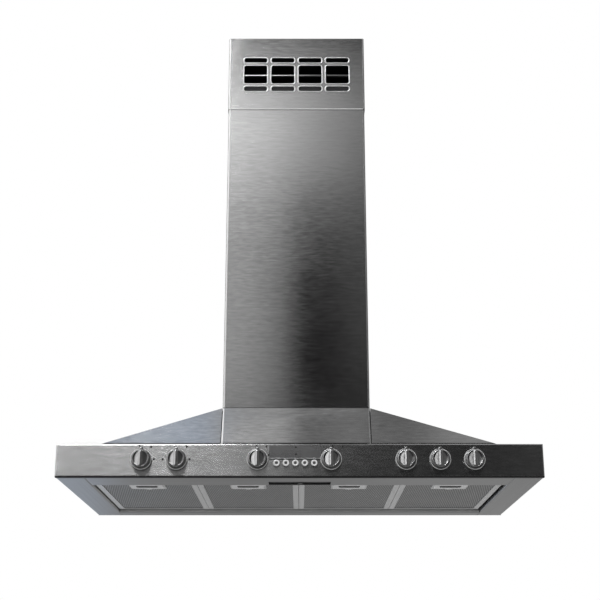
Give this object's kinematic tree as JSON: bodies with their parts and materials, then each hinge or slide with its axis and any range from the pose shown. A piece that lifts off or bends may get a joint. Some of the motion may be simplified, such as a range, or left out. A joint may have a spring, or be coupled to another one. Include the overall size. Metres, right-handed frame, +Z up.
{
  "type": "range hood",
  "caption": "Wall-mounted range hood: low body with knobs and buttons on its fascia, hinged grease filters below, a sloped canopy and a square telescopic flue with vents.",
  "frame": {"origin": "middle of the body in width, on the wall plane, level with the lower edge of the body", "axes": "+X to the right as seen by the cook, +Y towards the wall, +Z up"},
  "size_m": [0.9, 0.5181, 1],
  "materials": {
    "brushed_steel": "horizontally brushed stainless steel, satin",
    "galvanised_sheet": "galvanised steel sheet, dull",
    "knob_grey": "silver-grey moulded plastic, satin",
    "button_chrome": "satin chrome on moulded plastic",
    "filter_rail": "bright rolled aluminium",
    "filter_mesh": "layers of expanded aluminium mesh",
    "filter_handle": "pressed satin aluminium",
    "switch_plastic": "black moulded plastic",
    "display_glass": "smoked glossy display window",
    "white_plastic": "white moulded plastic",
    "lamp_lens": "frosted clear lamp cover",
    "dark_paint": "black painted sheet",
    "duct_aluminium": "thin aluminium duct",
    "impeller_plastic": "black moulded plastic",
    "motor_steel": "zinc-plated steel"
  },
  "bodies": {
    "hood": {"control_fascia": "brushed_steel", "control_box_pan": "brushed_steel", "control_box_lid": "brushed_steel", "side_panel_left": "brushed_steel", "side_panel_right": "brushed_steel", "canopy_centre": "brushed_steel", "canopy_left": "brushed_steel", "canopy_right": "brushed_steel", "lower_chimney_cover": "brushed_steel", "rear_rail": "galvanised_sheet", "back_panel": "galvanised_sheet", "hanging_brackets": "galvanised_sheet", "blower_deck": "galvanised_sheet", "sleeve_bracket": "galvanised_sheet", "motor_box": "galvanised_sheet", "scroll_housing": "galvanised_sheet", "motor_arms": "galvanised_sheet", "air_deflector": "dark_paint", "rotary_switches": "switch_plastic", "display_window": "display_glass", "clock_module": "switch_plastic", "lamp_housing": "white_plastic", "lamp_module": "white_plastic", "duct_pipe": "duct_aluminium", "motor": "motor_steel", "outlet_collar": "switch_plastic", "damper_pin": "motor_steel", "terminal_box": "switch_plastic", "capacitor": "white_plastic", "blower_screws": "motor_steel"},
    "control_knob_1": {"knob_1": "knob_grey"},
    "control_knob_2": {"knob_2": "knob_grey"},
    "control_knob_3": {"knob_3": "knob_grey"},
    "control_knob_4": {"knob_4": "knob_grey"},
    "control_knob_5": {"knob_5": "knob_grey"},
    "control_knob_6": {"knob_6": "knob_grey"},
    "control_knob_7": {"knob_7": "knob_grey"},
    "push_button_1": {"button_1": "button_chrome"},
    "push_button_2": {"button_2": "button_chrome"},
    "push_button_3": {"button_3": "button_chrome"},
    "push_button_4": {"button_4": "button_chrome"},
    "push_button_5": {"button_5": "button_chrome"},
    "grease_filter_1": {"filter_frame_1": "filter_rail", "filter_mesh_1": "filter_mesh"},
    "filter_handle_1": {"filter_latch_1": "filter_handle"},
    "grease_filter_2": {"filter_frame_2": "filter_rail", "filter_mesh_2": "filter_mesh"},
    "filter_handle_2": {"filter_latch_2": "filter_handle"},
    "grease_filter_3": {"filter_frame_3": "filter_rail", "filter_mesh_3": "filter_mesh"},
    "filter_handle_3": {"filter_latch_3": "filter_handle"},
    "grease_filter_4": {"filter_frame_4": "filter_rail", "filter_mesh_4": "filter_mesh"},
    "filter_handle_4": {"filter_latch_4": "filter_handle"},
    "blower_wheel": {"impeller": "impeller_plastic", "motor_shaft": "motor_steel"},
    "damper_left": {"damper_flap_left": "white_plastic"},
    "damper_right": {"damper_flap_right": "white_plastic"},
    "chimney_sleeve": {"upper_chimney_sleeve": "brushed_steel"},
    "lamp_door": {"lamp_cover": "lamp_lens"}
  },
  "joints": [
    {"name": "knob_1_turn", "type": "hinge", "parent": "hood", "child": "control_knob_1", "pos_m": [-0.29205, -0.5, 0.0325], "axis": [0, 1, 0], "range_deg": [0, 90]},
    {"name": "knob_2_turn", "type": "hinge", "parent": "hood", "child": "control_knob_2", "pos_m": [-0.22701, -0.5, 0.0325], "axis": [0, 1, 0], "range_deg": [-90, 90]},
    {"name": "knob_3_turn", "type": "hinge", "parent": "hood", "child": "control_knob_3", "pos_m": [-0.07792, -0.5, 0.0325], "axis": [0, 1, 0], "range_deg": [0, 300]},
    {"name": "knob_4_turn", "type": "hinge", "parent": "hood", "child": "control_knob_4", "pos_m": [0.05796, -0.5, 0.0325], "axis": [0, 1, 0], "range_deg": [0, 300]},
    {"name": "knob_5_turn", "type": "hinge", "parent": "hood", "child": "control_knob_5", "pos_m": [0.1961, -0.5, 0.0325], "axis": [0, 1, 0], "range_deg": [0, 300]},
    {"name": "knob_6_turn", "type": "hinge", "parent": "hood", "child": "control_knob_6", "pos_m": [0.25889, -0.5, 0.0325], "axis": [0, 1, 0], "range_deg": [0, 300]},
    {"name": "knob_7_turn", "type": "hinge", "parent": "hood", "child": "control_knob_7", "pos_m": [0.322, -0.5, 0.0325], "axis": [0, 1, 0], "range_deg": [0, 300]},
    {"name": "button_1_press", "type": "slide", "parent": "hood", "child": "push_button_1", "axis": [0, 1, 0], "range_m": [0, 0.002], "stiffness_N_per_m": 400, "springref_m": -0.002},
    {"name": "button_2_press", "type": "slide", "parent": "hood", "child": "push_button_2", "axis": [0, 1, 0], "range_m": [0, 0.002], "stiffness_N_per_m": 400, "springref_m": -0.002},
    {"name": "button_3_press", "type": "slide", "parent": "hood", "child": "push_button_3", "axis": [0, 1, 0], "range_m": [0, 0.002], "stiffness_N_per_m": 400, "springref_m": -0.002},
    {"name": "button_4_press", "type": "slide", "parent": "hood", "child": "push_button_4", "axis": [0, 1, 0], "range_m": [0, 0.002], "stiffness_N_per_m": 400, "springref_m": -0.002},
    {"name": "button_5_press", "type": "slide", "parent": "hood", "child": "push_button_5", "axis": [0, 1, 0], "range_m": [0, 0.002], "stiffness_N_per_m": 400, "springref_m": -0.002},
    {"name": "filter_1_swing", "type": "hinge", "parent": "hood", "child": "grease_filter_1", "pos_m": [-0.296, -0.05, 0.01], "axis": [1, 0, 0], "range_deg": [0, 55]},
    {"name": "filter_1_latch", "type": "slide", "parent": "grease_filter_1", "child": "filter_handle_1", "axis": [0, 1, 0], "range_m": [0, 0.006], "stiffness_N_per_m": 300, "springref_m": -0.003},
    {"name": "filter_2_swing", "type": "hinge", "parent": "hood", "child": "grease_filter_2", "pos_m": [-0.1, -0.05, 0.01], "axis": [1, 0, 0], "range_deg": [0, 55]},
    {"name": "filter_2_latch", "type": "slide", "parent": "grease_filter_2", "child": "filter_handle_2", "axis": [0, 1, 0], "range_m": [0, 0.006], "stiffness_N_per_m": 300, "springref_m": -0.003},
    {"name": "filter_3_swing", "type": "hinge", "parent": "hood", "child": "grease_filter_3", "pos_m": [0.096, -0.05, 0.01], "axis": [1, 0, 0], "range_deg": [0, 55]},
    {"name": "filter_3_latch", "type": "slide", "parent": "grease_filter_3", "child": "filter_handle_3", "axis": [0, 1, 0], "range_m": [0, 0.006], "stiffness_N_per_m": 300, "springref_m": -0.003},
    {"name": "filter_4_swing", "type": "hinge", "parent": "hood", "child": "grease_filter_4", "pos_m": [0.292, -0.05, 0.01], "axis": [1, 0, 0], "range_deg": [0, 55]},
    {"name": "filter_4_latch", "type": "slide", "parent": "grease_filter_4", "child": "filter_handle_4", "axis": [0, 1, 0], "range_m": [0, 0.006], "stiffness_N_per_m": 300, "springref_m": -0.003},
    {"name": "blower_spin", "type": "hinge", "parent": "hood", "child": "blower_wheel", "pos_m": [-0.007, -0.1871, 0.285], "axis": [1, 0, 0], "continuous": true},
    {"name": "damper_left_open", "type": "hinge", "parent": "hood", "child": "damper_left", "pos_m": [-0.007, -0.1266, 0.4488], "axis": [0, 1, 0], "range_deg": [0, 75]},
    {"name": "damper_right_open", "type": "hinge", "parent": "hood", "child": "damper_right", "pos_m": [-0.007, -0.1266, 0.4488], "axis": [0, -1, 0], "range_deg": [0, 75]},
    {"name": "sleeve_slide", "type": "slide", "parent": "hood", "child": "chimney_sleeve", "axis": [0, 0, 1], "range_m": [-0.65, 0.03]},
    {"name": "lamp_cover_open", "type": "hinge", "parent": "hood", "child": "lamp_door", "pos_m": [0, -0.445, 0.004], "axis": [-1, 0, 0], "range_deg": [0, 75]}
  ]
}
